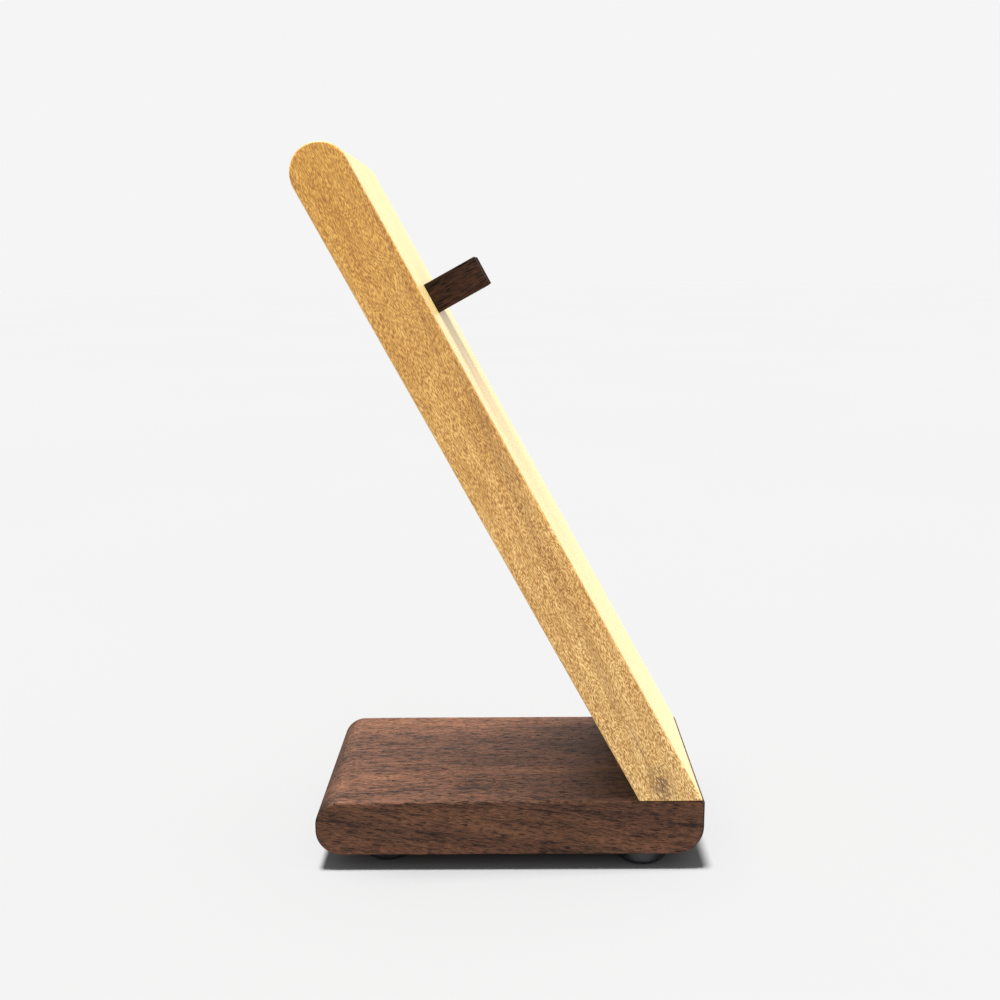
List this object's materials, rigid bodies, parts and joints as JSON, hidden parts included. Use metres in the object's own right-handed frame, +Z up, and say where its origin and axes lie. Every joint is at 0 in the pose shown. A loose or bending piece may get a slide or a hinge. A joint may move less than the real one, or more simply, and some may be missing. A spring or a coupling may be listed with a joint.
{
  "type": "safety razor stand",
  "caption": "Wooden stand with a board leaning back on a bullnosed base block and a notched fork that holds a razor by its neck.",
  "frame": {"origin": "on the floor, below the middle of the bounding box", "axes": "+Z up, +X to the front, where the fork points and the razor hangs, +Y to the stand's left side"},
  "size_m": [0.0894, 0.0508, 0.1623],
  "materials": {
    "walnut": "oiled, open grain, satin",
    "maple": "oiled, fine sanded, satin",
    "rubber": "smooth, semi-gloss",
    "steel": "bright zinc",
    "birch": "plain, unfinished"
  },
  "bodies": {
    "root": {"base_block": "walnut", "back_board": "maple", "razor_fork": "walnut", "foot_front_left": "rubber", "foot_front_right": "rubber", "foot_rear_left": "rubber", "foot_rear_right": "rubber", "base_screw_left": "steel", "base_screw_right": "steel", "fork_dowel_left": "birch", "fork_dowel_right": "birch"}
  },
  "joints": []
}
